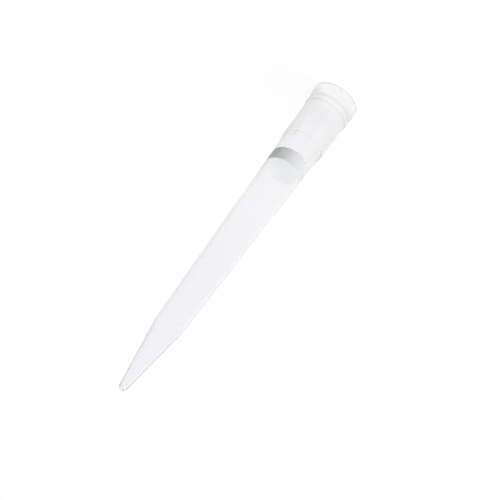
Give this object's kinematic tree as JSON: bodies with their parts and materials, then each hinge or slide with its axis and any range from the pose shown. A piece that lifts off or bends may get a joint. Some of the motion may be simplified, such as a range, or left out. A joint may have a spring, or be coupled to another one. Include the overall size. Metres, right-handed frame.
{
  "type": "filter pipette tip",
  "caption": "Large filtered pipette tip: ribbed collar with a socket for the pipette's nozzle, porous plug in the bore, tapered body and steep open end.",
  "frame": {"origin": "centre of the mouth's rim, on the surface that the tip stands on", "axes": "+Z along the tip's axis, from the mouth up to the narrow end; a rib of the collar lies on +X"},
  "size_m": [0.0088, 0.0088, 0.0765],
  "materials": {
    "moulded_tip": "smooth translucent natural polypropylene, as moulded",
    "porous_plug": "sintered porous polyethylene, fine grained and matt"
  },
  "bodies": {
    "root": {"tip_body": "moulded_tip", "aerosol_filter": "porous_plug"}
  },
  "joints": []
}
